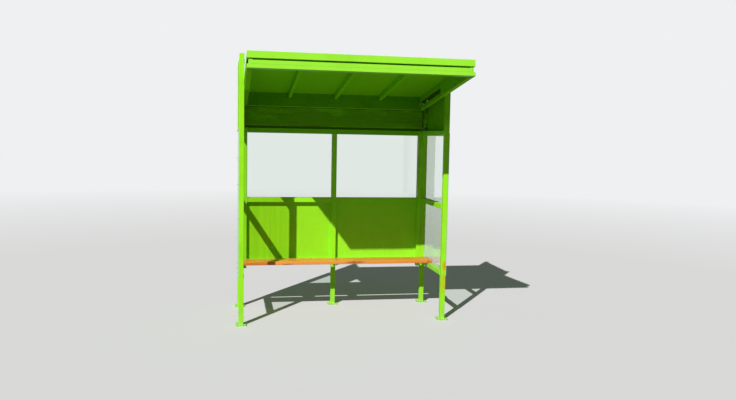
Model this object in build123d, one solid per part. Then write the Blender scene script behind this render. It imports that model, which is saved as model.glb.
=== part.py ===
from build123d import *
from math import cos, radians, sin
import os

# Bus shelter in millimetres, +Z up, +Y towards the back, origin on the floor under the middle

# Square tube of the posts and rails
tube = 40.0
tube_wall = 2.5
tube_corner = 2.5

# Side frames
frame_width = 1738.0
frame_depth = 725.0
post_height = 2185.0
rail_middle_height = 968.0
rail_low_height = 399.0
gable_drop = 40.0
cap_thickness = 3.0
cap_plug_depth = 12.0
cap_clearance = 0.3

# Foot plates and their anchor holes
plate_size = 90.0
plate_thickness = 8.0
plate_corner = 5.0
anchor_spacing = 64.0
anchor_hole = 11.0

# Sheets and glazing fixed to the outside faces
sheet_thickness = 2.0
glass_thickness = 5.0
edge_setback = 2.0
sheet_joint = 2.0
back_lap = 15.0
back_top_lap = 30.0

# Back board
board_height = 165.0
board_end_gap = 8.0
board_foot_gap = 22.0
board_top_gap = 1.0
board_arris = 4.0
stile_foot = 30.0

# Bench
plank_depth = 178.0
plank_thickness = 32.0
plank_set_back = 414.0
plank_bearing = 38.0
plank_arris = 5.0
arm_section = 30.0
arm_thickness = 4.0
arm_toe = 12.0

# Roof
roof_pitch = 7.95
roof_overhang = 737.0
roof_drop = 384.0
pan_lip = 50.0
pan_fit = 0.3
pan_bend = 3.0
roof_side_fit = 0.3
ring_width = 40.0
ring_top_depth = 50.0
ring_low_depth = 30.0
ring_gap = 40.0
ring_wall = 2.0
ring_corner = 3.0
rafter_width = 30.0
rafter_depth = 40.0
rafter_count = 3
upstand_height = 28.0
upstand_thickness = 4.0
upstand_end_notch = 21.0
cheek_thickness = 3.0
cheek_lap = 25.0
closing_plate_thickness = 3.0
spacer_length = 40.0
spacer_set_back = 12.0

# Places worked out from the sizes
plate_reach = (plate_size - tube) / 2
front = -(frame_depth + plate_reach - roof_overhang) / 2
back = front + frame_depth
half_width = frame_width / 2
inner_half = half_width - tube
roof_depth = ring_low_depth + ring_gap + ring_top_depth + sheet_thickness
roof_rear = back - roof_depth * sin(radians(roof_pitch))
roof_length = (roof_rear - front + roof_overhang) / cos(radians(roof_pitch))
roof_half = inner_half - roof_side_fit
frame_back_y = back - tube
roof_rear_height = post_height - roof_drop
board_low = roof_rear_height - board_top_gap - board_height
rail_top_height = board_low - board_foot_gap - tube / 2
gable_top = post_height - gable_drop


def tube_profile(width, depth, wall, corner):
    """Section of a rounded hollow tube."""
    return RectangleRounded(width, depth, corner) - Rectangle(width - 2 * wall, depth - 2 * wall)


def seat(shape, x, y, z):
    """Moves a shape so that the low corner of its box is at x, y, z."""
    low = shape.bounding_box().min
    return Pos(x - low.X, y - low.Y, z - low.Z) * shape


def tube_x(length, width=tube, depth=tube, wall=tube_wall, corner=tube_corner):
    """Tube along X, width measured along Y and depth along Z."""
    return Rot(0, 90, 0) * extrude(tube_profile(depth, width, wall, corner), length)


def tube_y(length, width=tube, depth=tube, wall=tube_wall, corner=tube_corner):
    """Tube along Y, width measured along X and depth along Z."""
    return Rot(-90, 0, 0) * extrude(tube_profile(width, depth, wall, corner), length)


def tube_z(length):
    """Post tube along Z."""
    return extrude(tube_profile(tube, tube, tube_wall, tube_corner), length)


def sheet(width, depth, height, corner_radius=0.0, axis=Axis.Y):
    """Flat sheet, with rounded corners seen along the axis across its thickness."""
    blank = Box(width, depth, height)
    if corner_radius:
        blank = fillet(blank.edges().filter_by(axis), corner_radius)
    return blank


def mirrored(shape):
    """The same piece on the other side."""
    return mirror(shape, about=Plane.YZ)


def save(name, *shapes):
    """Writes one node, of one solid or of several that don't touch."""
    solids = [solid for shape in shapes for solid in shape.solids()]
    whole = solids[0] if len(solids) == 1 else Compound(children=solids)
    export_step(whole, f"parts/{name}.step")


# Posts, caps and foot plates

def post(y):
    """Left post on its foot plate, at the given front face."""
    length = post_height - plate_thickness - cap_thickness
    return seat(tube_z(length), -half_width, y, plate_thickness)


def middle_leg():
    """Leg under the middle of the back frame."""
    top = rail_low_height - tube / 2
    return seat(tube_z(top - plate_thickness), -tube / 2, frame_back_y, plate_thickness)


def foot_plate(x, y):
    """Square plate centred under a post, with an anchor hole near each corner."""
    blank = Box(plate_size, plate_size, plate_thickness)
    blank = fillet(blank.edges().filter_by(Axis.Z), plate_corner)
    holes = GridLocations(anchor_spacing, anchor_spacing, 2, 2) * Cylinder(anchor_hole / 2, plate_thickness)
    return Pos(x, y, plate_thickness / 2) * (blank - holes)


def post_cap(x, y):
    """Lid on a post with a plug that fits the bore."""
    lid = extrude(RectangleRounded(tube, tube, tube_corner), cap_thickness)
    lid = chamfer(lid.faces().sort_by(Axis.Z)[-1].edges(), cap_thickness / 3)
    plug_size = tube - 2 * tube_wall - 2 * cap_clearance
    plug = extrude(Rectangle(plug_size, plug_size), -cap_plug_depth)
    return Pos(x, y, post_height - cap_thickness) * (lid + plug)


# Rails, gables and glazing of the side frames

def side_rail(z_middle):
    """Left rail between the posts."""
    return seat(tube_y(frame_depth - 2 * tube), -half_width, front + tube, z_middle - tube / 2)


def side_cover(z_low, z_high, thickness):
    """Left sheet that covers the outside of both posts from one height to another."""
    depth = frame_depth - 2 * edge_setback
    blank = sheet(thickness, depth, z_high - z_low, edge_setback, Axis.X)
    return seat(blank, -half_width - thickness, front + edge_setback, z_low)


# Back frame

def back_stile():
    """Left upright of the back frame, against the post."""
    low = rail_low_height - tube / 2 - stile_foot
    high = rail_top_height + tube / 2
    return seat(tube_z(high - low), -inner_half, frame_back_y, low)


def back_rail(z_middle):
    """Rail between the stiles."""
    length = 2 * (inner_half - tube)
    return seat(tube_x(length), -length / 2, frame_back_y, z_middle - tube / 2)


def back_mullion():
    """Upright between the top and bottom rails."""
    low = rail_low_height + tube / 2
    high = rail_top_height - tube / 2
    return seat(tube_z(high - low), -tube / 2, frame_back_y, low)


def back_half_rail():
    """Left length of the middle rail, from stile to mullion."""
    length = inner_half - tube - tube / 2
    return seat(tube_x(length), -inner_half + tube, frame_back_y, rail_middle_height - tube / 2)


def back_cover(x_low, x_high, z_low, z_high, thickness):
    """Sheet on the back face of the frame."""
    blank = sheet(x_high - x_low, thickness, z_high - z_low, edge_setback)
    return seat(blank, x_low, back, z_low)


def back_board():
    """Timber board between the posts, over the top rail."""
    length = 2 * (inner_half - board_end_gap)
    blank = Box(length, tube, board_height)
    blank = chamfer(blank.faces().sort_by(Axis.Y)[0].edges(), board_arris)
    return seat(blank, -length / 2, frame_back_y, board_low)


# Bench

def bench_plank():
    """Plank that lies across the low side rails."""
    length = 2 * (inner_half + plank_bearing)
    blank = Box(length, plank_depth, plank_thickness)
    blank = fillet(blank.edges().filter_by(Axis.X), plank_arris)
    return seat(blank, -length / 2, front + plank_set_back, rail_low_height + tube / 2)


def bench_arm():
    """Angle from the back frame to the underside of the plank, its upright leg cut to a toe."""
    top = rail_low_height + tube / 2
    tip = front + plank_set_back + arm_toe
    reach = frame_back_y - tip
    shelf = seat(Box(arm_section, reach, arm_thickness), -arm_section / 2, tip, top - arm_thickness)
    points = [(tip, top), (frame_back_y, top), (frame_back_y, top - arm_section)]
    points += [(frame_back_y - arm_toe, top - arm_section), (tip, top - 2 * arm_thickness)]
    web = extrude(Plane.YZ * make_face(Polyline(*points, close=True)), arm_thickness)
    return shelf + seat(web, -arm_section / 2, tip, top - arm_section)


# Roof, drawn flat with its low rear edge on the X axis and then tipped up at the front

def roof_place(shape):
    """Tips a flat roof piece to the pitch and sets its rear edge between the back posts."""
    return Pos(0, roof_rear, roof_rear_height) * (Rot(-roof_pitch, 0, 0) * shape)


ring_low_top = ring_low_depth
ring_top_low = ring_low_depth + ring_gap
pan_low = roof_depth - pan_lip
ring_inset = sheet_thickness + pan_fit


def roof_pan():
    """Sheet with its four edges folded down over the upper ring."""
    width = 2 * roof_half
    centre = Pos(0, -roof_length / 2, roof_depth - pan_lip / 2)
    skin = Box(width, roof_length, pan_lip)
    skin = fillet(skin.faces().sort_by(Axis.Z)[-1].edges(), pan_bend)
    hollow = Box(width - 2 * sheet_thickness, roof_length - 2 * sheet_thickness, pan_lip)
    hollow = fillet(hollow.faces().sort_by(Axis.Z)[-1].edges(), pan_bend - sheet_thickness)
    return centre * (skin - Pos(0, 0, -sheet_thickness) * hollow)


def ring_across(y, z, depth, half):
    """Ring tube across the roof, its rear face at y."""
    bar = tube_x(2 * half, ring_width, depth, ring_wall, ring_corner)
    return seat(bar, -half, y - ring_width, z)


def ring_side(z, depth, half, inset):
    """Left ring tube between the front and rear ones."""
    length = roof_length - 2 * (inset + ring_width)
    bar = tube_y(length, ring_width, depth, ring_wall, ring_corner)
    return seat(bar, -half, -roof_length + inset + ring_width, z)


def rafter(x):
    """Rafter between the front and rear tubes of the upper ring, tight under the sheet."""
    length = roof_length - 2 * (ring_inset + ring_width)
    bar = tube_y(length, rafter_width, rafter_depth, ring_wall, ring_corner)
    z = roof_depth - sheet_thickness - rafter_depth
    return seat(bar, x - rafter_width / 2, -roof_length + ring_inset + ring_width, z)


def roof_upstand():
    """Flat bar that stands on the lower front tube, short of the ends."""
    length = 2 * (roof_half - upstand_end_notch)
    bar = Box(length, upstand_thickness, upstand_height)
    return seat(bar, -length / 2, -roof_length, ring_low_top)


def roof_cheek():
    """Left plate on the inner faces of the two rings, from the front tube to the post."""
    run = (roof_rear - front) / cos(radians(roof_pitch))
    y_low = -roof_length + ring_inset + ring_width
    y_high = -run
    z_low = ring_low_top - cheek_lap
    z_high = roof_depth - sheet_thickness - pan_fit
    plate = sheet(cheek_thickness, y_high - y_low, z_high - z_low)
    return seat(plate, -roof_half + ring_inset + ring_width, y_low, z_low)


def roof_closing_plate(y, half):
    """Plate across the inner faces of two ring tubes, closing the gap between them, its front face at y."""
    z_low = ring_low_top - cheek_lap
    z_high = roof_depth - sheet_thickness - rafter_depth
    plate = Box(2 * half, closing_plate_thickness, z_high - z_low)
    return seat(plate, -half, y, z_low)


def roof_spacer(x, y):
    """Block between the lower and the upper ring."""
    width = ring_width - spacer_set_back
    block = Box(width, spacer_length, ring_gap)
    return seat(block, x, y, ring_low_top)


os.makedirs("parts", exist_ok=True)

front_post = post(front)
back_post = post(frame_back_y)
save("post_front_left", front_post)
save("post_front_right", mirrored(front_post))
save("post_back_left", back_post)
save("post_back_right", mirrored(back_post))
save("leg_back_middle", middle_leg())

post_x = half_width - tube / 2
post_rows = [front + tube / 2, back - tube / 2]
corners = [(x, y) for x in (-post_x, post_x) for y in post_rows]
save("base_plates", *[foot_plate(x, y) for x, y in corners + [(0, back - tube / 2)]])
save("post_caps", *[post_cap(x, y) for x, y in corners])

rail_heights = {
    "crown": gable_top - tube / 2,
    "top": rail_top_height,
    "middle": rail_middle_height,
    "low": rail_low_height,
}
for name, height in rail_heights.items():
    rail = side_rail(height)
    save(f"side_rails_{name}", rail, mirrored(rail))

side_covers = {
    "gable": (rail_top_height + sheet_joint / 2, gable_top, sheet_thickness),
    "glass": (rail_low_height - tube / 2, rail_top_height - sheet_joint / 2, glass_thickness),
}
for name, (z_low, z_high, thickness) in side_covers.items():
    cover = side_cover(z_low, z_high, thickness)
    save(f"side_{name}_left", cover)
    save(f"side_{name}_right", mirrored(cover))

save("back_stile_left", back_stile())
save("back_stile_right", mirrored(back_stile()))
save("back_mullion", back_mullion())
save("back_rail_top", back_rail(rail_top_height))
save("back_rail_middle", back_half_rail(), mirrored(back_half_rail()))
save("back_rail_bottom", back_rail(rail_low_height))

cover_side = inner_half + back_lap
back_covers = {
    "glass": (rail_middle_height + sheet_joint / 2, rail_top_height - sheet_joint / 2, glass_thickness),
    "panel": (rail_low_height - tube / 2, rail_middle_height - sheet_joint / 2, sheet_thickness),
}
for name, (z_low, z_high, thickness) in back_covers.items():
    cover = back_cover(-cover_side, -sheet_joint / 2, z_low, z_high, thickness)
    save(f"back_{name}_left", cover)
    save(f"back_{name}_right", mirrored(cover))
upper_low = rail_top_height + sheet_joint / 2
upper_high = roof_rear_height + back_top_lap
save("back_panel_upper", back_cover(-cover_side, cover_side, upper_low, upper_high, sheet_thickness))
save("back_board", back_board())

save("bench_plank", bench_plank())
save("bench_arm_middle", bench_arm())

top_half = roof_half - ring_inset
across_half = top_half - pan_bend + sheet_thickness
save("roof_pan", roof_place(roof_pan()))
save("roof_top_rear", roof_place(ring_across(-ring_inset, ring_top_low, ring_top_depth, across_half)))
top_front_y = -roof_length + ring_inset + ring_width
save("roof_top_front", roof_place(ring_across(top_front_y, ring_top_low, ring_top_depth, across_half)))
top_side = roof_place(ring_side(ring_top_low, ring_top_depth, top_half, ring_inset))
save("roof_top_left", top_side)
save("roof_top_right", mirrored(top_side))

save("roof_low_rear", roof_place(ring_across(0, 0, ring_low_depth, roof_half)))
save("roof_low_front", roof_place(ring_across(-roof_length + ring_width, 0, ring_low_depth, roof_half)))
low_side = roof_place(ring_side(0, ring_low_depth, roof_half, 0))
save("roof_low_left", low_side)
save("roof_low_right", mirrored(low_side))

rafter_pitch = 2 * roof_half / (rafter_count + 1)
for index, name in enumerate(["left", "middle", "right"]):
    x = -roof_half + rafter_pitch * (index + 1)
    save(f"rafter_{name}", roof_place(rafter(x)))

save("roof_upstand", roof_place(roof_upstand()))
cheek = roof_place(roof_cheek())
save("roof_cheeks", cheek, mirrored(cheek))
ring_inner_half = top_half - ring_width
front_closer = roof_closing_plate(-roof_length + ring_inset + ring_width, ring_inner_half - cheek_thickness)
rear_closer = roof_closing_plate(-ring_inset - ring_width - closing_plate_thickness, ring_inner_half)
save("roof_closing_plates", roof_place(front_closer), roof_place(rear_closer))
spacer_x = -roof_half + spacer_set_back
spacer_rows = [-roof_length + spacer_set_back, -spacer_set_back - spacer_length]
spacers = [roof_place(roof_spacer(spacer_x, y)) for y in spacer_rows]
save("roof_spacers", *spacers, *[mirrored(block) for block in spacers])
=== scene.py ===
from math import cos, radians, sin

import bmesh
import bpy
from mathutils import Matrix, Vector


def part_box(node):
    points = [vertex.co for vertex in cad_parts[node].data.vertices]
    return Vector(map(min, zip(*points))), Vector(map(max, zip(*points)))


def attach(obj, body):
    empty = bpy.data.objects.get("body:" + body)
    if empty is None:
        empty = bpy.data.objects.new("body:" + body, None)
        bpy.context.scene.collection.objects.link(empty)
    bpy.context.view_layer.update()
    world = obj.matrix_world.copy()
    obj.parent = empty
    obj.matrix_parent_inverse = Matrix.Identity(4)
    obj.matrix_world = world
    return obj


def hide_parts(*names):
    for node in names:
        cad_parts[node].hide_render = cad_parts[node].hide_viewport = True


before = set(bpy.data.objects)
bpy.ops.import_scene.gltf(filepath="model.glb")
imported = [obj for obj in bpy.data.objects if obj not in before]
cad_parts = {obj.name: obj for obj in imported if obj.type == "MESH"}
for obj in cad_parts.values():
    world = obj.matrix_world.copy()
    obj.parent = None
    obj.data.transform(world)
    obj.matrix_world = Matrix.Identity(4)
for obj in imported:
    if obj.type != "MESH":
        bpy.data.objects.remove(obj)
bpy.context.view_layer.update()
scene = bpy.context.scene
bpy.ops.object.select_all(action="DESELECT")


# Floor, light and camera
# The shelter stands on a plain pale floor that fades into a pale backdrop. One key from high on
# the front left throws the roof's shadow over the back, and an even sky softly fills the rest.

backdrop = (0.86, 0.87, 0.88, 1.0)
floor_radius = 60.0
floor_pale = (0.735, 0.710, 0.725, 1.0)
floor_dim = (0.25, 0.25, 0.24, 1.0)
fade_start = 5.0
fade_end = 16.0
key_travel = Vector((0.997, 1.462, -1.503))
key_strength = 4.0
key_spread = 0.53
sky_strength = 0.14
sky_colour = (0.86, 1.08, 0.88, 1.0)

camera_place = (-0.9509, -5.845, 1.5161)
camera_turn = (85.2952, -1.0564, -10.9482)
camera_lens = 35.276
film_width = 36.0
picture_width = 736
camera_shift = -0.5 / picture_width


def node(tree, kind, inputs=None, **settings):
    """Adds a node. An input is a value or the output of another node."""
    made = tree.nodes.new("ShaderNode" + kind)
    for name, value in settings.items():
        setattr(made, name, value)
    for name, value in (inputs or {}).items():
        feed(tree, made.inputs[name], value)
    return made


def feed(tree, socket, value):
    """Sets a socket to a value or links it to an output."""
    if isinstance(value, bpy.types.NodeSocket):
        tree.links.new(value, socket)
    else:
        socket.default_value = value


def maths(tree, operation, first, second=0.0):
    """Result of one sum on two numbers, kept between 0 and 1."""
    made = node(tree, "Math", operation=operation, use_clamp=True)
    feed(tree, made.inputs[0], first)
    feed(tree, made.inputs[1], second)
    return made.outputs[0]


def times(tree, first, second):
    """Product of two numbers, kept between 0 and 1."""
    return maths(tree, "MULTIPLY", first, second)


def seen_straight(tree):
    """1 for what the camera sees directly, in a reflection or through glass."""
    path = node(tree, "LightPath").outputs
    mirrored_or_seen = maths(tree, "ADD", path["Is Camera Ray"], path["Is Glossy Ray"])
    return maths(tree, "ADD", mirrored_or_seen, path["Is Transmission Ray"])


def spread(tree, value, low, high, start=0.0, end=1.0):
    """Turns the range from low to high into the range from start to end."""
    inputs = {"Value": value, "From Min": low, "From Max": high, "To Min": start, "To Max": end}
    return node(tree, "MapRange", inputs).outputs[0]


def floor_finish():
    """Pale matt floor that fades into the backdrop a few metres away."""
    material = bpy.data.materials.new("floor")
    material.use_nodes = True
    tree = material.node_tree
    tree.nodes.clear()
    place = node(tree, "TexCoord").outputs["Object"]
    distance = node(tree, "VectorMath", {0: place}, operation="LENGTH").outputs["Value"]
    seen = seen_straight(tree)
    pale = node(tree, "BsdfDiffuse", {"Color": floor_pale}).outputs[0]
    dim = node(tree, "BsdfDiffuse", {"Color": floor_dim}).outputs[0]
    near = node(tree, "MixShader", {0: seen, 1: dim, 2: pale}).outputs[0]
    far = node(tree, "Emission", {"Color": backdrop}).outputs[0]
    share = times(tree, seen, spread(tree, distance, fade_start, fade_end))
    whole = node(tree, "MixShader", {0: share, 1: near, 2: far}).outputs[0]
    node(tree, "OutputMaterial", {"Surface": whole})
    return material


bpy.ops.mesh.primitive_circle_add(vertices=64, radius=floor_radius, fill_type="NGON")
floor = bpy.context.object
floor.name = "floor"
floor.data.materials.append(floor_finish())

world = bpy.data.worlds.new("sky")
world.use_nodes = True
scene.world = world
sky = world.node_tree
sky.nodes.clear()
fill = node(sky, "Background", {"Color": sky_colour, "Strength": sky_strength}).outputs[0]
behind = node(sky, "Background", {"Color": backdrop, "Strength": 1.0}).outputs[0]
whole_sky = node(sky, "MixShader", {0: seen_straight(sky), 1: fill, 2: behind}).outputs[0]
node(sky, "OutputWorld", {"Surface": whole_sky})

bpy.ops.object.light_add(type="SUN", location=-2 * key_travel)
key = bpy.context.object
key.data.energy = key_strength
key.data.angle = radians(key_spread)
key.rotation_euler = key_travel.to_track_quat("-Z", "Y").to_euler()

bpy.ops.object.camera_add(location=camera_place, rotation=[radians(a) for a in camera_turn])
camera = bpy.context.object
camera.data.lens = camera_lens
camera.data.sensor_width = film_width
camera.data.shift_x = camera_shift
scene.camera = camera
scene.view_settings.view_transform = "Standard"


# Posts and middle leg
# Four 40 mm square steel tubes and a shorter one under the back, brush-painted lime green over
# an orange undercoat, which shows where hands and bags have rubbed the front right post.

lime = (158, 237, 38)
lime_shade = (130, 218, 16)
post_top_shade = (74, 156, 6)
undercoat = (226, 132, 20)
shade_beside_roof = (44, 58, 14)
shade_under_roof = (104, 164, 4)
shade_under_roof_low = (52, 100, 2)
rust = (98, 52, 26)
dust = (176, 172, 152)

stroke_stretch = {"x": (0.03, 1.0, 1.0), "y": (1.0, 0.03, 1.0), "z": (1.0, 1.0, 0.03)}
bristle_scale = 230.0
lap_scale = 5.0
lap_darker = 0.16
lap_lighter = 0.06
glass_streak_fade = 0.09
splash_height = 0.16
peel_scale = 900.0
brush_depth = 0.0004

sides = (-1.0, 1.0)
post_line = 0.849
back_post_face = 0.678


def tint(colour, strength=1.0):
    """A colour written as on a screen, from 0 to 255, as the light that it sends back."""
    levels = [c / 255 for c in colour]
    light = [c / 12.92 if c <= 0.04045 else ((c + 0.055) / 1.055) ** 2.4 for c in levels]
    return [c * strength for c in light] + [1.0]


def noise(tree, scale, stretch=(1.0, 1.0, 1.0), detail=4.0, roughness=0.55, shift=(0.0, 0.0, 0.0)):
    """Cloudy pattern in the part's own coordinates."""
    place = node(tree, "TexCoord").outputs["Object"]
    inputs = {"Vector": place, "Scale": stretch, "Location": shift}
    stretched = node(tree, "Mapping", inputs).outputs["Vector"]
    inputs = {"Vector": stretched, "Scale": scale, "Detail": detail, "Roughness": roughness}
    return node(tree, "TexNoise", inputs).outputs["Fac"]


def mix(tree, share, first, second):
    """First colour where the share is 0 and second where it is 1."""
    made = node(tree, "Mix", data_type="RGBA")
    for socket, value in zip((made.inputs[0], made.inputs[6], made.inputs[7]), (share, first, second)):
        feed(tree, socket, value)
    return made.outputs[2]


def patch(tree, centre, reach, ragged):
    """1 in the middle of a patch and 0 past its reach, with a ragged edge."""
    place = node(tree, "TexCoord").outputs["Object"]
    offset = node(tree, "VectorMath", {0: place, 1: centre}, operation="SUBTRACT").outputs[0]
    part = node(tree, "VectorMath", {0: offset, 1: reach}, operation="DIVIDE").outputs[0]
    distance = node(tree, "VectorMath", {0: part}, operation="LENGTH").outputs["Value"]
    cloud = spread(tree, noise(tree, 60.0, (1.0, 1.0, 0.5)), 0.5 - ragged, 0.5 + ragged * 0.4)
    return times(tree, spread(tree, distance, 1.0, 0.35), cloud)


def new_finish(name):
    """A new material with its shader, ready for colours."""
    material = bpy.data.materials.new(name)
    material.use_nodes = True
    tree = material.node_tree
    return material, tree, tree.nodes["Principled BSDF"]


def roughen(tree, shader, height, depth, strength=0.5):
    """Gives a finish a small relief."""
    bump = node(tree, "Bump", {"Height": height, "Strength": strength, "Distance": depth})
    feed(tree, shader.inputs["Normal"], bump.outputs["Normal"])


def facing(tree, axis):
    """How far a surface faces along an axis, from -1 to 1."""
    normal = node(tree, "NewGeometry").outputs["Normal"]
    return node(tree, "SeparateXYZ", {0: normal}).outputs[axis]


def along(tree, axis):
    """Place along an axis, in metres."""
    place = node(tree, "TexCoord").outputs["Object"]
    return node(tree, "SeparateXYZ", {0: place}).outputs[axis]


def glass_streak_shade(tree, colour, end, streak_shade_green, streak_line_green):
    """Upright streaks of painted shade, for light through a smeared side sheet, left of a line across the
    back.
    """
    lines = spread(tree, noise(tree, 240.0, (1.0, 1.0, 0.008), 6.0, 0.7), 0.42, 0.66)
    bands = spread(tree, noise(tree, 26.0, (1.0, 1.0, 0.02), 3.0), 0.36, 0.64)
    wear_and_painted_light = mix(tree, times(tree, lines, 0.7), tint(streak_shade_green), tint(streak_line_green))
    wear_and_painted_light = mix(tree, times(tree, bands, 0.4), wear_and_painted_light, tint(streak_line_green))
    return mix(tree, spread(tree, along(tree, "X"), end, end - glass_streak_fade), colour, wear_and_painted_light)


def lime_paint(name, stroke="z", green=lime, streaks=0.3, uneven=1.0, gloss=0.06, rough=0.34, grime=0.5,
               patches=(), glass_streaks=None, under=lime_shade):
    """Brushed lime enamel with dust on top, splashes at the foot, rusty chips and the given patches, some
    of them painted shade.
    """
    material, tree, shader = new_finish(name)
    bristles = noise(tree, bristle_scale, stroke_stretch[stroke], 3.0)
    laps = noise(tree, lap_scale, detail=5.0)
    thick = maths(tree, "ADD", times(tree, spread(tree, bristles, 0.3, 0.7), streaks),
                  times(tree, spread(tree, laps, 0.3, 0.7), 1.0 - streaks))
    darker = tint(green, 1.0 - lap_darker * uneven)
    lighter = tint(green, 1.0 + lap_lighter * uneven)
    colour = mix(tree, spread(tree, thick, 0.0, 0.5), darker, tint(green))
    colour = mix(tree, spread(tree, thick, 0.5, 1.0), colour, lighter)
    # Faces that look down take the under colour: painted shade by default, painted light on the roof's
    # sill.
    colour = mix(tree, spread(tree, facing(tree, "Z"), -0.4, -0.9), colour, tint(under))
    # Upright streaks of painted shade where asked.
    if glass_streaks:
        colour = glass_streak_shade(tree, colour, *glass_streaks)
    for centre, reach, shown, strength, ragged in patches:
        share = times(tree, patch(tree, centre, reach, ragged), strength)
        colour = mix(tree, share, colour, tint(shown))
    chips = times(tree, spread(tree, noise(tree, 70.0, detail=6.0), 0.705, 0.72),
                  spread(tree, noise(tree, 3.5, shift=(7.0, 2.0, 5.0)), 0.55, 0.62))
    colour = mix(tree, chips, colour, tint(rust))
    splash = times(tree, spread(tree, along(tree, "Z"), splash_height, 0.0),
                   spread(tree, noise(tree, 38.0, detail=6.0), 0.35, 0.75))
    settled = times(tree, spread(tree, facing(tree, "Z"), 0.6, 0.95),
                    spread(tree, noise(tree, 16.0, detail=6.0), 0.3, 0.75))
    dirty = times(tree, maths(tree, "MAXIMUM", splash, settled), grime)
    feed(tree, shader.inputs["Base Color"], mix(tree, dirty, colour, tint(dust)))
    shader.inputs["Specular IOR Level"].default_value = gloss
    sheen = spread(tree, laps, 0.3, 0.7, rough - 0.04, rough + 0.08)
    feed(tree, shader.inputs["Roughness"], maths(tree, "ADD", sheen, times(tree, dirty, 0.4)))
    peel = times(tree, noise(tree, peel_scale, detail=1.0), 0.12)
    relief = maths(tree, "ADD", times(tree, bristles, 0.7 * streaks + 0.15), peel)
    roughen(tree, shader, relief, brush_depth)
    return material


def finish_node(name, material):
    """Gives a carried-over piece its finish."""
    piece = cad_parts[name]
    piece.data.materials.clear()
    piece.data.materials.append(material)


post_paint = lime_paint("lime_posts")
for name in ("post_front_left", "leg_back_middle"):
    finish_node(name, post_paint)

# The back posts are painted darker under the roof, above the top rail and beside the roof, as painted
# shade.
back_post_shade_patches = []
for side in sides:
    back_post_shade_patches += [
        ((side * post_line, back_post_face, 1.70), (0.12, 0.10, 0.16), shade_under_roof, 1.0, 0.3),
        ((side * post_line, back_post_face, 1.63), (0.10, 0.06, 0.03), shade_under_roof_low, 0.8, 0.3),
        ((side * post_line, back_post_face, 1.87), (0.075, 0.05, 0.15), shade_beside_roof, 1.0, 0.9),
    ]
back_post_paint = lime_paint("lime_back_posts", patches=back_post_shade_patches)
for name in ("post_back_left", "post_back_right"):
    finish_node(name, back_post_paint)

rubbed_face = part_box("post_front_right")[0].y
# Orange undercoat where the front right post is rubbed, and painted shade darkening its top under the roof.
rubbed_and_shade_patches = [
    ((0.859, rubbed_face, 0.466), (0.030, 0.03, 0.056), undercoat, 1.0, 0.5),
    ((0.854, rubbed_face, 0.315), (0.034, 0.03, 0.110), undercoat, 0.62, 0.5),
    ((post_line, rubbed_face, 1.820), (0.060, 0.05, 0.260), post_top_shade, 0.7, 0.9),
]
finish_node("post_front_right", lime_paint("lime_post_rubbed_and_shaded", patches=rubbed_and_shade_patches))


# Foot plates
# Five 8 mm steel plates welded under the posts and the middle leg. Four anchor bolts with thin
# nuts hold each of them down, brushed over with the plate's paint and dusted from shoes.

anchor_offset = 0.032
washer_radius = 0.010
washer_thickness = 0.002
nut_radius = 0.0092
nut_height = 0.0036
stud_radius = 0.005
stud_stand = 0.0052
stud_chamfer = 0.0008
weld_size = 0.0032
weld_rings = 28
weld_valley = 0.78
weld_end = 0.6
smooth_angle = 35.0
upward = (0.0, 0.0, 1.0)


def turned(corners, radius, thickness, steps=(), base=0.0):
    """Blank standing on its base, with its top drawn in and up once for each step."""
    bpy.ops.object.select_all(action="DESELECT")
    bpy.ops.mesh.primitive_cylinder_add(vertices=corners, radius=radius, depth=thickness,
                                        location=(0.0, 0.0, base + thickness / 2))
    piece = bpy.context.object
    bpy.ops.object.mode_set(mode="EDIT")
    pick(piece, "FACE", lambda face: face.normal.z > 0.9)
    for inward, rise in steps:
        bpy.ops.mesh.inset(thickness=inward)
        bpy.ops.transform.translate(value=(0.0, 0.0, rise))
    bpy.ops.object.mode_set(mode="OBJECT")
    return piece


def pick(piece, kind, wanted):
    """Selects the faces, edges or corners that pass a test."""
    bpy.ops.mesh.select_mode(type=kind)
    bpy.ops.mesh.select_all(action="DESELECT")
    mesh = bmesh.from_edit_mesh(piece.data)
    for item in {"FACE": mesh.faces, "EDGE": mesh.edges, "VERT": mesh.verts}[kind]:
        item.select_set(wanted(item))
    mesh.select_flush_mode()
    bmesh.update_edit_mesh(piece.data)


def joined(*pieces):
    """Joins pieces into the first and applies its place."""
    bpy.context.view_layer.update()
    bpy.ops.object.select_all(action="DESELECT")
    for piece in pieces:
        piece.select_set(True)
    bpy.context.view_layer.objects.active = pieces[0]
    if len(pieces) > 1:
        bpy.ops.object.join()
    bpy.ops.object.transform_apply(location=True, rotation=True, scale=True)
    return pieces[0]


def pattern(*pieces):
    """Keeps a small finished shape to copy, and clears its object away."""
    piece = joined(*pieces)
    mesh = piece.data
    bpy.data.objects.remove(piece)
    return mesh


def set_out(mesh, name, places, material):
    """Puts a copy at each place, pointing along its direction and stretched to its length."""
    copies = []
    for point, direction, length in places:
        copy = bpy.data.objects.new(name, mesh.copy())
        scene.collection.objects.link(copy)
        copy.location = point
        copy.rotation_euler = Vector(direction).to_track_quat("Z", "Y").to_euler()
        copy.scale = (1.0, 1.0, length)
        copies.append(copy)
    return finish_piece(joined(*copies), name, material)


def finish_piece(piece, name, material):
    """Names a finished piece, smooths its curves and gives it its finish."""
    bpy.ops.object.select_all(action="DESELECT")
    piece.select_set(True)
    bpy.context.view_layer.objects.active = piece
    bpy.ops.object.transform_apply(location=True, rotation=True, scale=True)
    bpy.ops.object.shade_smooth_by_angle(angle=radians(smooth_angle))
    piece.name = name
    piece.data.name = name
    piece.data.materials.clear()
    piece.data.materials.append(material)
    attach(piece, "root")
    return piece


def between(start, end):
    """Place of a stretched copy that runs from one point to another."""
    run = Vector(end) - Vector(start)
    return start, run, run.length


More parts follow.
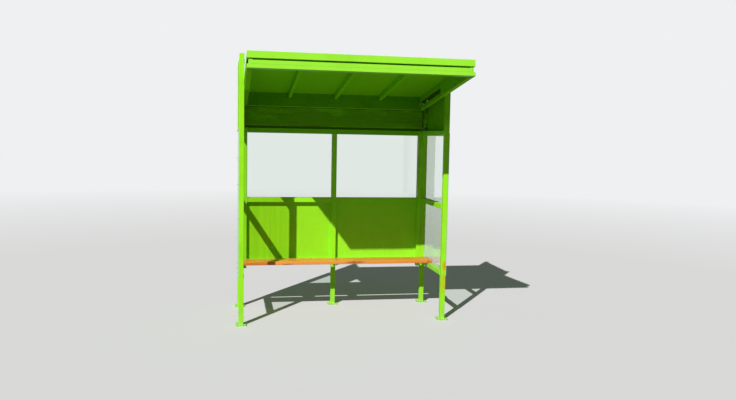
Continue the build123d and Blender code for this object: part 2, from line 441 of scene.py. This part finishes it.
def weld_bead():
    """Bead of fillet weld with ripples and drawn-out ends, to be cut to the joint's length."""
    bpy.ops.object.select_all(action="DESELECT")
    bpy.ops.mesh.primitive_cylinder_add(vertices=8, radius=weld_size, depth=1.0, location=(0.0, 0.0, 0.5))
    bead = bpy.context.object
    bpy.ops.object.transform_apply(location=True)
    bpy.ops.object.mode_set(mode="EDIT")
    pick(bead, "EDGE", lambda edge: abs(edge.verts[0].co.z - edge.verts[1].co.z) > 0.5)
    bpy.ops.mesh.subdivide(number_cuts=weld_rings - 1)
    for rings, size in ((range(0, weld_rings + 1, 2), weld_valley), ((0, weld_rings), weld_end)):
        pick(bead, "VERT", lambda corner: round(corner.co.z * weld_rings) in rings)
        bpy.ops.transform.resize(value=(size, size, 1.0), center_override=(0.0, 0.0, 0.0))
    bpy.ops.object.mode_set(mode="OBJECT")
    return bead


plate_paint = lime_paint("lime_plates", uneven=1.6, grime=0.95, rough=0.5)
finish_node("base_plates", plate_paint)

plate_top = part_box("base_plates")[1].z
posts = ("post_front_left", "post_front_right", "post_back_left", "post_back_right", "leg_back_middle")
feet = [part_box(name) for name in posts]
tube_width = feet[0][1].x - feet[0][0].x

washer = turned(20, washer_radius, washer_thickness, [(0.0005, 0.0002)])
nut = turned(6, nut_radius, nut_height, [(0.0009, 0.0006)], base=washer_thickness)
stud = turned(12, stud_radius, stud_stand - stud_chamfer, [(stud_chamfer, stud_chamfer)])
anchor = pattern(washer, nut, stud)
anchor_places = []
for low, high in feet:
    middle = (low + high) / 2
    for dx in (-anchor_offset, anchor_offset):
        for dy in (-anchor_offset, anchor_offset):
            anchor_places.append(((middle.x + dx, middle.y + dy, plate_top), upward, 1.0))
set_out(anchor, "anchor_bolts", anchor_places, plate_paint)

weld = pattern(weld_bead())
foot_welds = []
for low, high in feet:
    for y in (low.y, high.y):
        foot_welds.append(between((low.x, y, plate_top), (high.x, y, plate_top)))
    for x in (low.x, high.x):
        foot_welds.append(between((x, low.y, plate_top), (x, high.y, plate_top)))
set_out(weld, "foot_welds", foot_welds, plate_paint)


# Post caps
# Pressed steel lids with a plug, pushed into the top of each post and painted over with it.

finish_node("post_caps", lime_paint("lime_caps", grime=0.7, uneven=1.3))


# Side rails
# Four tubes a side between the front and the back post, welded in at their ends. The outer
# face of each weld is ground flush for the sheets, and dust lies on the rails.

ground_off = 0.003

rail_paint = lime_paint("lime_side_rails", stroke="y", grime=0.85)
rail_welds = []
for name in ("crown", "top", "middle", "low"):
    finish_node(f"side_rails_{name}", rail_paint)
    rails_low, rails_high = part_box(f"side_rails_{name}")
    for side in sides:
        outer = side * rails_high.x
        inner = outer - side * tube_width
        for y in (rails_low.y, rails_high.y):
            for z in (rails_low.z, rails_high.z):
                rail_welds.append(between((inner, y, z), (outer - side * ground_off, y, z)))
            rail_welds.append(between((inner, y, rails_low.z), (inner, y, rails_high.z)))
set_out(weld, "side_rail_welds", rail_welds, rail_paint)


# Back frame
# Two stiles against the back posts, a mullion and rails between them, all of the same tube
# and welded at every meeting. A corner has lost its paint, and the right stile's foot and top
# and the top rail are painted darker as painted shade.

frame_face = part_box("back_stile_right")[0].y
back_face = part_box("back_stile_right")[1].y
stile_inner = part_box("back_stile_right")[0].x
mullion_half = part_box("back_mullion")[1].x
sheet_gap = 0.004
# Painted shade streaks on the left of the back, up to where the front left post's shadow falls.
glass_streaks_left = (-0.36, (155, 220, 30), (132, 194, 22))
stile_foot_shade = (84, 88, 56)
bare_zinc = (196, 202, 196)
stile_left_green = (144, 220, 30)
stile_top_shade_green = (132, 206, 12)
rail_top_shade_green = (128, 208, 12)
# The right stile's foot and top are painted dark as painted shade; two thin rust lines run down it.
stile_marks_and_shade = [
    ((0.809, frame_face, 0.354), (0.120, 0.10, 0.042), stile_foot_shade, 1.0, 0.9),
    ((0.805, frame_face, 0.354), (0.120, 0.10, 0.042), stile_foot_shade, 1.0, 0.9),
    ((0.829, frame_face, 0.800), (0.005, 0.04, 0.500), rust, 0.6, 0.5),
    ((0.792, frame_face, 1.300), (0.006, 0.04, 0.260), rust, 0.5, 0.3),
    ((0.809, frame_face, 1.580), (0.120, 0.10, 0.160), stile_top_shade_green, 1.0, 0.3),
]
chipped_corner = [((-0.790, frame_face, 0.950), (0.008, 0.03, 0.014), bare_zinc, 0.45, 0.9)]

upright_paint = lime_paint("lime_uprights", uneven=0.7, gloss=0.05)
finish_node("back_mullion", upright_paint)
finish_node("back_stile_left", lime_paint("lime_stile_left", green=stile_left_green, uneven=0.7, gloss=0.05,
                                           patches=chipped_corner))
finish_node("back_stile_right", lime_paint("lime_stile_right", uneven=0.7, gloss=0.05,
                                            patches=stile_marks_and_shade))
finish_node("back_rail_bottom", lime_paint("lime_rails", stroke="x", uneven=0.7, gloss=0.05))
# The middle rail's left part carries the same painted shade streaks as the left sheet.
finish_node("back_rail_middle", lime_paint("lime_middle_rail", stroke="x", uneven=0.7, gloss=0.05,
                                            glass_streaks=glass_streaks_left))
# The top rail's green is darker, as painted shade under the roof.
finish_node("back_rail_top", lime_paint("lime_top_rail", stroke="x", green=rail_top_shade_green, uneven=0.9,
                                         gloss=0.05))

rail_meets = {"top": (stile_inner,), "middle": (stile_inner, mullion_half), "bottom": (stile_inner,)}
back_welds = []
for name, meets in rail_meets.items():
    rail_low, rail_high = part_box(f"back_rail_{name}")
    for x in [side * meet for meet in meets for side in sides]:
        back_welds.append(between((x, frame_face, rail_low.z), (x, frame_face, rail_high.z)))
        for z in (rail_low.z, rail_high.z):
            back_welds.append(between((x, frame_face, z), (x, back_face - sheet_gap, z)))
set_out(weld, "back_frame_welds", back_welds, upright_paint)


# Back sheets
# Thin steel sheets on the back of the frame, two below the windows and one across above them,
# fixed with dome rivets. Painted shade streaks the left one upright and darkens the upper one.

rivet_radius = 0.0045
rivet_pitch = 0.13
fixing_margin = 0.012
panel_left_green = (154, 226, 36)
panel_right_green = (162, 237, 45)
upper_shade_green = (104, 160, 6)
rearward = (0.0, 1.0, 0.0)


def dotted(start, end, direction, pitch=rivet_pitch):
    """Evenly pitched places along a line, its ends among them."""
    first, last = Vector(start), Vector(end)
    count = max(1, round((last - first).length / pitch))
    return [(first.lerp(last, step / count), direction, 1.0) for step in range(count + 1)]


def edge_rows(name, direction, pitch=rivet_pitch):
    """Fixing places round an upright sheet, on the face that looks in a direction."""
    low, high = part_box(name)
    if direction[0]:
        x_low = x_high = high.x if direction[0] > 0 else low.x
        y_low, y_high = low.y + fixing_margin, high.y - fixing_margin
    else:
        x_low, x_high = low.x + fixing_margin, high.x - fixing_margin
        y_low = y_high = high.y
    z_low, z_high = low.z + fixing_margin, high.z - fixing_margin
    places = []
    for x, y in ((x_low, y_low), (x_high, y_high)):
        places += dotted((x, y, z_low), (x, y, z_high), direction, pitch)
    for z in (z_low, z_high):
        places += dotted((x_low, y_low, z), (x_high, y_high, z), direction, pitch)[1:-1]
    return places


panel_left_paint = lime_paint("lime_panel_left", green=panel_left_green, gloss=0.05, rough=0.42,
                              streaks=0.45, uneven=0.5, grime=0.4, glass_streaks=glass_streaks_left)
panel_right_paint = lime_paint("lime_panel_right", green=panel_right_green, gloss=0.03, rough=0.42,
                               uneven=0.6, grime=0.4)
finish_node("back_panel_left", panel_left_paint)
finish_node("back_panel_right", panel_right_paint)
# The upper sheet's green is darker, as painted shade under the roof.
finish_node("back_panel_upper", lime_paint("lime_upper_sheet", stroke="x", green=upper_shade_green, gloss=0.05,
                                            rough=0.45))

rivet = pattern(turned(14, rivet_radius, 0.0006, [(0.0009, 0.0007), (0.0013, 0.0004), (0.0008, -0.0004)]))
back_rivets = []
for name in ("back_panel_left", "back_panel_right", "back_panel_upper"):
    back_rivets += edge_rows(name, rearward)
set_out(rivet, "back_rivets", back_rivets, panel_right_paint)


# Gables
# A steel sheet on the outside of each side frame above the window, riveted to the posts and
# rails. Its inner face is painted darker as painted shade, almost black-green beside the roof.

roof_pitch = radians(7.95)
roof_rear = Vector((0.0, 0.7016, 1.801))
gable_inner_shade = (30, 108, 4)
gable_roof_side_shade = (28, 52, 6)
gable_roof_side_shade_dark = (18, 36, 4)


def over_coat(material, share, colour):
    """Lays one more colour over a paint."""
    tree = material.node_tree
    socket = tree.nodes["Principled BSDF"].inputs["Base Color"]
    tree.links.new(mix(tree, share, socket.links[0].from_socket, colour), socket)


def height_in_roof(tree):
    """Height above the roof's underside, square to it."""
    place = node(tree, "TexCoord").outputs["Object"]
    offset = node(tree, "VectorMath", {0: place, 1: roof_rear}, operation="SUBTRACT").outputs[0]
    square = (0.0, sin(roof_pitch), cos(roof_pitch))
    return node(tree, "VectorMath", {0: offset, 1: square}, operation="DOT_PRODUCT").outputs["Value"]


gable_paint = lime_paint("lime_gables", grime=0.4, rough=0.5, gloss=0.004)
tree = gable_paint.node_tree
outward = node(tree, "Math", {0: facing(tree, "X"), 1: along(tree, "X")}, operation="MULTIPLY").outputs[0]
inner_face = spread(tree, outward, 0.0, -0.3)
rise = height_in_roof(tree)
beside_roof = times(tree, spread(tree, rise, 0.034, 0.044), spread(tree, rise, 0.126, 0.12))
cloud = spread(tree, noise(tree, 12.0, (1.0, 1.0, 0.4), 7.0, 0.65), 0.35, 0.65)
roof_side_shade = mix(tree, cloud, tint(gable_roof_side_shade), tint(gable_roof_side_shade_dark))
# Painted shade on the inner face, darkest beside the roof.
over_coat(gable_paint, times(tree, inner_face, 0.5), tint(gable_inner_shade))
over_coat(gable_paint, times(tree, inner_face, beside_roof), roof_side_shade)

gable_rivets = []
for name, side in (("side_gable_left", -1.0), ("side_gable_right", 1.0)):
    finish_node(name, gable_paint)
    gable_rivets += edge_rows(name, (side, 0.0, 0.0))
set_out(rivet, "gable_rivets", gable_rivets, gable_paint)


# Glazing
# Clear sheets on the outside of the frame, one a side and two across the back, screwed on
# through thin grey washers and sealed on the inside with a run of pale or brown mastic.

screw_pitch = 0.24
rubber_radius = 0.0068
rubber_thickness = 0.0008
rubber_edge = 0.0002
screw_radius = 0.0046
mastic_radius = 0.0032
mastic_brown = (96, 74, 46)
mastic_pale = (176, 190, 160)
rubber_grey = (146, 152, 144)
sheet_body = (239, 246, 240)
sheet_light = (244, 248, 244)
sheet_edge = (176, 206, 170)
sheet_refraction = 1.49
zinc_rust = 0.5


def clear_sheet(name, thin_way):
    """Clear sheet with a faint green cast, a little haze and matt sawn edges. It lets light through."""
    material, tree, shader = new_finish(name)
    smears = noise(tree, 7.0, (1.0, 1.0, 0.35), 6.0)
    shader.inputs["Base Color"].default_value = tint(sheet_body)
    shader.inputs["IOR"].default_value = sheet_refraction
    shader.inputs["Transmission Weight"].default_value = 1.0
    feed(tree, shader.inputs["Roughness"], spread(tree, smears, 0.5, 0.8, 0.004, 0.02))
    lit = node(tree, "BsdfTransparent", {"Color": tint(sheet_light)}).outputs[0]
    path = node(tree, "LightPath").outputs
    through = maths(tree, "ADD", path["Is Shadow Ray"], path["Is Diffuse Ray"])
    whole = node(tree, "MixShader", {0: through, 1: shader.outputs[0], 2: lit}).outputs[0]
    on_edge = spread(tree, maths(tree, "ABSOLUTE", facing(tree, thin_way)), 0.5, 0.3)
    sawn = node(tree, "BsdfDiffuse", {"Color": tint(sheet_edge)}).outputs[0]
    whole = node(tree, "MixShader", {0: on_edge, 1: whole, 2: sawn}).outputs[0]
    tree.links.new(whole, tree.nodes["Material Output"].inputs["Surface"])
    return material


def zinc_finish(name):
    """Plated steel gone dull, with spots of rust."""
    material, tree, shader = new_finish(name)
    bloom = noise(tree, 140.0, detail=6.0)
    spots = times(tree, spread(tree, noise(tree, 55.0, detail=7.0), 0.44, 0.60), zinc_rust)
    colour = mix(tree, spread(tree, bloom, 0.3, 0.7), tint(bare_zinc, 0.55), tint(bare_zinc, 0.85))
    feed(tree, shader.inputs["Base Color"], mix(tree, spots, colour, tint(rust)))
    feed(tree, shader.inputs["Metallic"], spread(tree, spots, 0.5, 0.1, 0.1, 0.9))
    feed(tree, shader.inputs["Roughness"], spread(tree, bloom, 0.3, 0.7, 0.38, 0.58))
    roughen(tree, shader, bloom, 0.0003, 0.4)
    return material


def plain_finish(name, colour, rough, scale, depth):
    """Mastic or rubber, mottled and slightly uneven."""
    material, tree, shader = new_finish(name)
    mottle = noise(tree, scale, detail=5.0)
    shown = mix(tree, spread(tree, mottle, 0.3, 0.7), tint(colour, 0.75), tint(colour, 1.2))
    feed(tree, shader.inputs["Base Color"], shown)
    feed(tree, shader.inputs["Roughness"], spread(tree, mottle, 0.3, 0.7, rough - 0.08, rough + 0.08))
    roughen(tree, shader, mottle, depth)
    return material


def rim(corner, opposite):
    """Runs along the four sides of an upright opening."""
    first, last = Vector(corner), Vector(opposite)
    runs = [((point.x, point.y, first.z), (point.x, point.y, last.z)) for point in (first, last)]
    runs += [((first.x, first.y, z), (last.x, last.y, z)) for z in (first.z, last.z)]
    return [between(start, end) for start, end in runs]


fixing_zinc = zinc_finish("zinc_fixings")
clear_side = clear_sheet("clear_side_sheets", "X")
clear_back = clear_sheet("clear_back_sheets", "Y")
rubber_finish = plain_finish("rubber", rubber_grey, 0.6, 300.0, 0.0001)
rubber_steps = [(2 * rubber_edge, rubber_edge)]
rubber = pattern(turned(16, rubber_radius, rubber_thickness - rubber_edge, rubber_steps))
screw = pattern(turned(14, screw_radius, 0.0004, [(0.0007, 0.0005), (0.0013, 0.0003), (0.0013, -0.0007)],
                       base=rubber_thickness))
screw_places = []

rails_front, rails_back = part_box("side_rails_low")[0].y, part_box("side_rails_low")[1].y
side_runs = []
for side, name in ((-1.0, "side_glass_left"), (1.0, "side_glass_right")):
    finish_node(name, clear_side)
    screw_places += edge_rows(name, (side, 0.0, 0.0), screw_pitch)
    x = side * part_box("side_rails_low")[1].x
    for under, over in (("low", "middle"), ("middle", "top")):
        sill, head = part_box(f"side_rails_{under}")[1].z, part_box(f"side_rails_{over}")[0].z
        side_runs += rim((x, rails_front, sill), (x, rails_back, head))

sill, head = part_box("back_rail_middle")[1].z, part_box("back_rail_top")[0].z
back_runs = []
for side, name in ((-1.0, "back_glass_left"), (1.0, "back_glass_right")):
    finish_node(name, clear_back)
    screw_places += edge_rows(name, rearward, screw_pitch)
    back_runs += rim((side * mullion_half, back_face, sill), (side * stile_inner, back_face, head))

set_out(rubber, "rubber_washers", screw_places, rubber_finish)
set_out(screw, "glazing_screws", screw_places, fixing_zinc)
mastic = pattern(turned(8, mastic_radius, 1.0, [(0.0008, 0.0)]))
mastics = (("mastic_side", side_runs, mastic_pale), ("mastic_back", back_runs, mastic_brown))
for name, runs, colour in mastics:
    set_out(mastic, name, runs, plain_finish(name, colour, 0.7, 60.0, 0.0008))


# Back board
# A planed timber board between the posts under the roof, painted green along the grain over
# brown wood, which shows at its worn edges. A screwed plate ties each end to the post.

# Darker green for the board, partly its own paint and partly painted shade under the roof.
board_paint_and_shade_green = (104, 168, 6)
board_fresh = (126, 204, 8)
board_brown = (112, 78, 30)
end_wear = 0.10
edge_wear = 0.012
edge_bare = 0.003
tie_size = Vector((0.034, 0.003, 0.034))
tie_past_end = 0.0075
tie_arris = 0.0009
tie_green = (104, 150, 44)
tie_screw_radius = 0.0036
tie_screw_offsets = ((-0.003, 0.026), (0.018, 0.009))


def rounded_block(middle, size, arris, segments):
    """Block with rounded edges."""
    bpy.ops.object.select_all(action="DESELECT")
    bpy.ops.mesh.primitive_cube_add(size=1.0, location=middle)
    block = bpy.context.object
    block.scale = size
    bpy.ops.object.transform_apply(location=True, scale=True)
    rounding = block.modifiers.new("edges", "BEVEL")
    rounding.width = arris
    rounding.segments = segments
    bpy.ops.object.modifier_apply(modifier=rounding.name)
    return block


board_low, board_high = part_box("back_board")
board_paint = lime_paint("board_paint_and_shade_green", stroke="x", green=board_paint_and_shade_green, streaks=0.85, gloss=0.05, rough=0.5,
                         uneven=1.8, grime=0.7)
tree = board_paint.node_tree
grain = spread(tree, noise(tree, 60.0, (0.03, 1.0, 1.0), 7.0, 0.65), 0.56, 0.68)
near_end = spread(tree, maths(tree, "ABSOLUTE", along(tree, "X")), board_high.x - end_wear, board_high.x)
near_edge = spread(tree, along(tree, "Z"), board_low.z + edge_wear, board_low.z + edge_bare)
blotches = spread(tree, noise(tree, 11.0, (0.45, 1.0, 1.0), 6.0, 0.6, (3.0, 1.0, 4.0)), 0.5, 0.66)
over_coat(board_paint, times(tree, blotches, 0.75), tint(board_fresh))
wear_and_painted_light = maths(tree, "MAXIMUM", times(tree, grain, maths(tree, "MAXIMUM", near_end, 0.35)),
             times(tree, near_edge, grain))
over_coat(board_paint, wear_and_painted_light, tint(board_brown))
finish_node("back_board", board_paint)

tie_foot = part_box("back_rail_top")[1].z
ties = []
tie_screws = []
for side in sides:
    middle = (side * (board_high.x + tie_past_end), board_low.y - tie_size.y / 2, tie_foot + tie_size.z / 2)
    ties.append(rounded_block(middle, tie_size, tie_arris, 2))
    for dx, dz in tie_screw_offsets:
        point = (side * (board_high.x + dx), board_low.y - tie_size.y, tie_foot + dz)
        tie_screws.append((point, (0.0, -1.0, 0.0), 1.0))
tie_paint = lime_paint("lime_ties", green=tie_green, grime=0.9)
finish_piece(joined(*ties), "board_ties", tie_paint)
tie_screw_steps = [(0.0006, 0.0006), (0.0010, 0.0003), (0.0011, -0.0009)]
tie_screw = pattern(turned(12, tie_screw_radius, 0.0004, tie_screw_steps))
set_out(tie_screw, "tie_screws", tie_screws, fixing_zinc)


# Bench
# One softwood plank, oiled orange, lying across the low side rails on a middle arm. Coach
# bolts through washers and nuts hold it at both ends and over the arm.

plank_arris = 0.005
plank_wear = 0.0016
hollow_size = 0.11
timber_light = (246, 158, 72)
timber_mid = (238, 147, 62)
timber_dark = (176, 100, 40)
timber_red = (220, 116, 42)
timber_stain_and_shade = (84, 38, 22)
timber_end = (122, 70, 34)
timber_top_reflection = (176, 160, 40)
red_end = -0.57
bolt_radius = 0.0095
bolt_line = 0.840
bolt_margin = 0.04
bolt_sink = 0.0009
bench_washer_radius = 0.0085
bench_washer_thickness = 0.0016
bench_nut_radius = 0.0078
bench_nut_height = 0.0062
bench_stud_radius = 0.0040
bench_stud_stand = 0.012
arm_bolt_x = -0.002
arm_bolt_margin = 0.05
arm_sheet = 0.004


def timber_finish(name, stains_and_shade):
    """Oiled softwood: long grain, stains, dark end grain, painted shade on the left end, a painted
    reflection on top.
    """
    material, tree, shader = new_finish(name)
    grain = noise(tree, 70.0, (0.03, 1.0, 1.0), 8.0, 0.6)
    figure = noise(tree, 16.0, (0.05, 1.0, 1.0), 4.0)
    rings = noise(tree, 150.0, (0.02, 1.0, 1.0), 3.0)
    colour = mix(tree, spread(tree, figure, 0.32, 0.66), tint(timber_light), tint(timber_mid))
    # The left end's front and sides are painted redder and darker, as painted shade where light comes
    # through the side sheet.
    reddened = times(tree, spread(tree, along(tree, "X"), red_end + 0.03, red_end),
                     spread(tree, facing(tree, "Z"), 0.7, 0.3))
    colour = mix(tree, times(tree, reddened, 0.8), colour, tint(timber_red))
    colour = mix(tree, times(tree, spread(tree, grain, 0.52, 0.72), 0.42), colour, tint(timber_dark))
    for centre, reach, strength in stains_and_shade:
        share = times(tree, patch(tree, centre, reach, 0.6), strength)
        colour = mix(tree, share, colour, tint(timber_stain_and_shade))
    end = spread(tree, maths(tree, "ABSOLUTE", facing(tree, "X")), 0.6, 0.9)
    colour = mix(tree, times(tree, end, 0.75), colour, tint(timber_end))
    # Top faces take a painted olive reflection of the green back sheets.
    wear_and_painted_light = times(tree, spread(tree, facing(tree, "Z"), 0.5, 0.9), spread(tree, figure, 0.4, 0.7))
    colour = mix(tree, times(tree, wear_and_painted_light, 0.35), colour, tint(timber_top_reflection))
    feed(tree, shader.inputs["Base Color"], colour)
    feed(tree, shader.inputs["Roughness"], spread(tree, grain, 0.3, 0.7, 0.30, 0.46))
    shader.inputs["Specular IOR Level"].default_value = 0.3
    shader.inputs["Coat Weight"].default_value = 0.08
    shader.inputs["Coat Roughness"].default_value = 0.18
    relief = maths(tree, "ADD", times(tree, grain, 0.6), times(tree, rings, 0.4))
    roughen(tree, shader, relief, 0.0006)
    return material


plank_low, plank_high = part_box("bench_plank")
plank = rounded_block((plank_low + plank_high) / 2, plank_high - plank_low, plank_arris, 4)
bpy.ops.object.mode_set(mode="EDIT")
for axis, cuts in ((0, 64), (1, 10), (2, 3)):
    across = Vector((axis == 0, axis == 1, axis == 2))
    for step in range(1, cuts):
        level = plank_low[axis] + (plank_high - plank_low)[axis] * step / cuts
        bpy.ops.mesh.select_all(action="SELECT")
        bpy.ops.mesh.bisect(plane_co=across * level, plane_no=across)
bpy.ops.object.mode_set(mode="OBJECT")
hollows = bpy.data.textures.new("hollows", "CLOUDS")
hollows.noise_scale = hollow_size
wear = plank.modifiers.new("wear", "DISPLACE")
wear.texture = hollows
wear.texture_coords = "LOCAL"
wear.mid_level = 1.0
wear.strength = plank_wear
bpy.ops.object.modifier_apply(modifier=wear.name)
# The last mark is painted shade at the plank's right end beside the side sheet; the others are stains.
plank_stains_and_shade = [
    ((0.160, plank_low.y, 0.436), (0.11, 0.05, 0.015), 0.85),
    ((-0.440, plank_low.y, 0.425), (0.06, 0.05, 0.008), 0.8),
    ((0.835, plank_low.y, 0.430), (0.02, 0.08, 0.020), 0.6),
]
finish_piece(plank, "plank", timber_finish("plank_timber", plank_stains_and_shade))
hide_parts("bench_plank")

arm_low, arm_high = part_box("bench_arm_middle")
arm_flange = arm_high.z - arm_sheet
rail_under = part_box("side_rails_low")[0].z
bolts = [(side * bolt_line, y, rail_under) for side in sides
         for y in (plank_low.y + bolt_margin, plank_high.y - bolt_margin)]
bolts += [(arm_bolt_x, y, arm_flange)
          for y in (plank_low.y + arm_bolt_margin, plank_high.y - bolt_margin)]
heads = [((x, y, plank_high.z - bolt_sink), upward, 1.0) for x, y, under in bolts]
ends = [((x, y, under), (0.0, 0.0, -1.0), 1.0) for x, y, under in bolts]
dome_steps = [(0.0012, 0.0012), (0.0022, 0.0011), (0.0028, 0.0007), (0.0020, 0.0002)]
dome = pattern(turned(20, bolt_radius, 0.0006, dome_steps))
set_out(dome, "coach_bolts", heads, fixing_zinc)
under_washer = turned(18, bench_washer_radius, bench_washer_thickness, [(0.0004, 0.0002)])
under_nut = turned(6, bench_nut_radius, bench_nut_height, [(0.0008, 0.0005)], base=bench_washer_thickness)
under_stud = turned(12, bench_stud_radius, bench_stud_stand, [(0.0007, 0.0007)])
under_end = pattern(under_washer, under_nut, under_stud)
set_out(under_end, "bench_nuts", ends, fixing_zinc)

finish_node("bench_arm_middle", lime_paint("lime_arm", stroke="y"))
arm_web = arm_low.x + arm_sheet
arm_welds = [between((arm_low.x, arm_high.y, arm_flange), (arm_high.x, arm_high.y, arm_flange)),
             between((arm_web, arm_high.y, arm_low.z), (arm_web, arm_high.y, arm_flange))]
set_out(weld, "arm_welds", arm_welds, upright_paint)


# Roof
# Two rings of tube held apart by blocks, with rafters in the upper one, under a sheet folded
# down on all four sides. The open groove between the rings runs round the front and sides.

roof_half = 0.8287
roof_length = 1.4592
groove_low = 0.030
groove_high = 0.070
arris_outside = 0.0035
arris_inside = 0.0015
ring_width = 0.040
ring_weld_stop = 0.002
rafter_half = 0.015
rafter_low = 0.080
rafter_high = 0.118
rafter_end = -roof_length + 0.0423
bead_end = rafter_end + 0.0030
tack_pitch = 0.19
tack_half = 0.018
tack_line = -roof_length + 0.004
lip_middle = 0.097
lip_margin = 0.03
lip_end = -0.76
rear_lip_pitch = 0.16
# Light tan on the arrises inside the groove, shown as a thin light line along the slot.
groove_arris_tan = (190, 160, 66)
# Darker greens here are painted shade under the roof; the sill's underside green is painted light.
groove_shade_green = (74, 136, 12)
ring_inner_shade = (112, 190, 14)
rear_shade_green = (100, 172, 4)
rear_underside_shade = (112, 190, 4)
sill_underside_light = (168, 238, 60)
fascia_green = (155, 231, 58)
pan_green = (156, 232, 56)
cheek_shade_green = (118, 200, 14)
run_grey = (120, 122, 84)


def on_roof(x, y, z):
    """Point of the tipped roof, from its flat drawing: y back from the rear edge, z from below."""
    tipped_y = y * cos(roof_pitch) + z * sin(roof_pitch)
    tipped_z = z * cos(roof_pitch) - y * sin(roof_pitch)
    return roof_rear + Vector((x, tipped_y, tipped_z))


def roof_run(start, end):
    """Place of a weld between two points of the roof's flat drawing."""
    return between(on_roof(*start), on_roof(*end))


fascia_paint = lime_paint("lime_fascia", stroke="x", green=fascia_green, uneven=0.5, grime=0.4)
# Rafters and cheeks take darker greens, as painted shade under the roof.
inner_paint = lime_paint("lime_roof_inside", stroke="y", green=lime_shade, gloss=0.008, rough=0.6,
                         uneven=0.8)
cheek_paint = lime_paint("lime_cheeks", stroke="y", green=cheek_shade_green, gloss=0.008, rough=0.6)
# The rear member and sill are painted darker as painted shade; the sill's underside is painted lighter as
# painted light from below.
rear_paint = lime_paint("lime_roof_rear", stroke="x", green=rear_shade_green, gloss=0.04, rough=0.5, uneven=1.2,
                        under=rear_underside_shade)
sill_paint = lime_paint("lime_roof_sill", stroke="x", green=rear_shade_green, gloss=0.04, rough=0.5, uneven=1.2,
                        under=sill_underside_light)

ring_paint = lime_paint("lime_roof_rings", stroke="y", green=lime_shade, gloss=0.008, rough=0.6,
                        uneven=0.8)
tree = ring_paint.node_tree
rise = height_in_roof(tree)
in_groove = times(tree, spread(tree, rise, groove_low - arris_outside, groove_low - arris_inside),
                  spread(tree, rise, groove_high + arris_outside, groove_high + arris_inside))
level = maths(tree, "ABSOLUTE", facing(tree, "Z"))
outer_face = times(tree, along(tree, "X"), facing(tree, "X"))
inner_side = times(tree, spread(tree, outer_face, 0.3, 0.1), spread(tree, level, 0.8, 0.6))
# Painted shade on the rings' inner faces and on the groove's flat faces, and light tan on the groove's
# arrises.
over_coat(ring_paint, inner_side, tint(ring_inner_shade))
over_coat(ring_paint, in_groove, tint(groove_arris_tan))
over_coat(ring_paint, times(tree, in_groove, spread(tree, level, 0.6, 0.8)), tint(groove_shade_green))

pan_paint = lime_paint("lime_pan", stroke="y", green=pan_green, uneven=0.6, grime=0.35, gloss=0.01)
tree = pan_paint.node_tree
run_marks = spread(tree, noise(tree, 34.0, (1.0, 0.03, 1.0), 6.0, 0.6), 0.46, 0.76)
to_rear = spread(tree, along(tree, "Y"), -0.4, 0.66, 0.15, 0.6)
topside = spread(tree, facing(tree, "Z"), 0.8, 0.95)
over_coat(pan_paint, times(tree, times(tree, run_marks, to_rear), topside), tint(run_grey))

roof_paints = (
    (pan_paint, ("roof_pan",)),
    (fascia_paint, ("roof_top_front", "roof_low_front", "roof_upstand", "roof_spacers")),
    (ring_paint, ("roof_low_left", "roof_low_right", "roof_top_left", "roof_top_right")),
    (inner_paint, ("rafter_left", "rafter_middle", "rafter_right")),
    (cheek_paint, ("roof_cheeks",)),
    (rear_paint, ("roof_top_rear", "roof_closing_plates")),
    (sill_paint, ("roof_low_rear",)),
)
for paint, names in roof_paints:
    for name in names:
        finish_node(name, paint)

ring_inner = roof_half - ring_width
front_joint, rear_joint = -roof_length + ring_width, -ring_width
roof_welds = []
for y in (front_joint, rear_joint):
    for side in sides:
        x = side * roof_half
        roof_welds.append(roof_run((side * ring_inner, y, 0.0), (x, y, 0.0)))
        if y == front_joint:
            roof_welds.append(roof_run((x, y, ring_weld_stop), (x, y, groove_low - ring_weld_stop)))
for x in (-roof_half / 2, 0.0, roof_half / 2):
    left, right = x - rafter_half, x + rafter_half
    for edge in (left, right):
        roof_welds.append(roof_run((edge, rafter_end, rafter_low), (edge, rafter_end, rafter_high)))
    roof_welds.append(roof_run((left, bead_end, rafter_low), (right, bead_end, rafter_low)))
for step in range(-4, 5):
    x = step * tack_pitch
    start, end = x - tack_half, x + tack_half
    roof_welds.append(roof_run((start, tack_line, groove_low), (end, tack_line, groove_low)))
set_out(weld, "roof_welds", roof_welds, inner_paint)

lip_rivets = []
for side in sides:
    lip_rivets += dotted(on_roof(side * roof_half, -roof_length + lip_margin, lip_middle),
                         on_roof(side * roof_half, lip_end, lip_middle), (side, 0.0, 0.0))
lip_rivets += dotted(on_roof(-roof_half + lip_margin, 0.0, lip_middle),
                     on_roof(roof_half - lip_margin, 0.0, lip_middle),
                     (0.0, cos(roof_pitch), -sin(roof_pitch)), rear_lip_pitch)
set_out(rivet, "roof_rivets", lip_rivets, pan_paint)
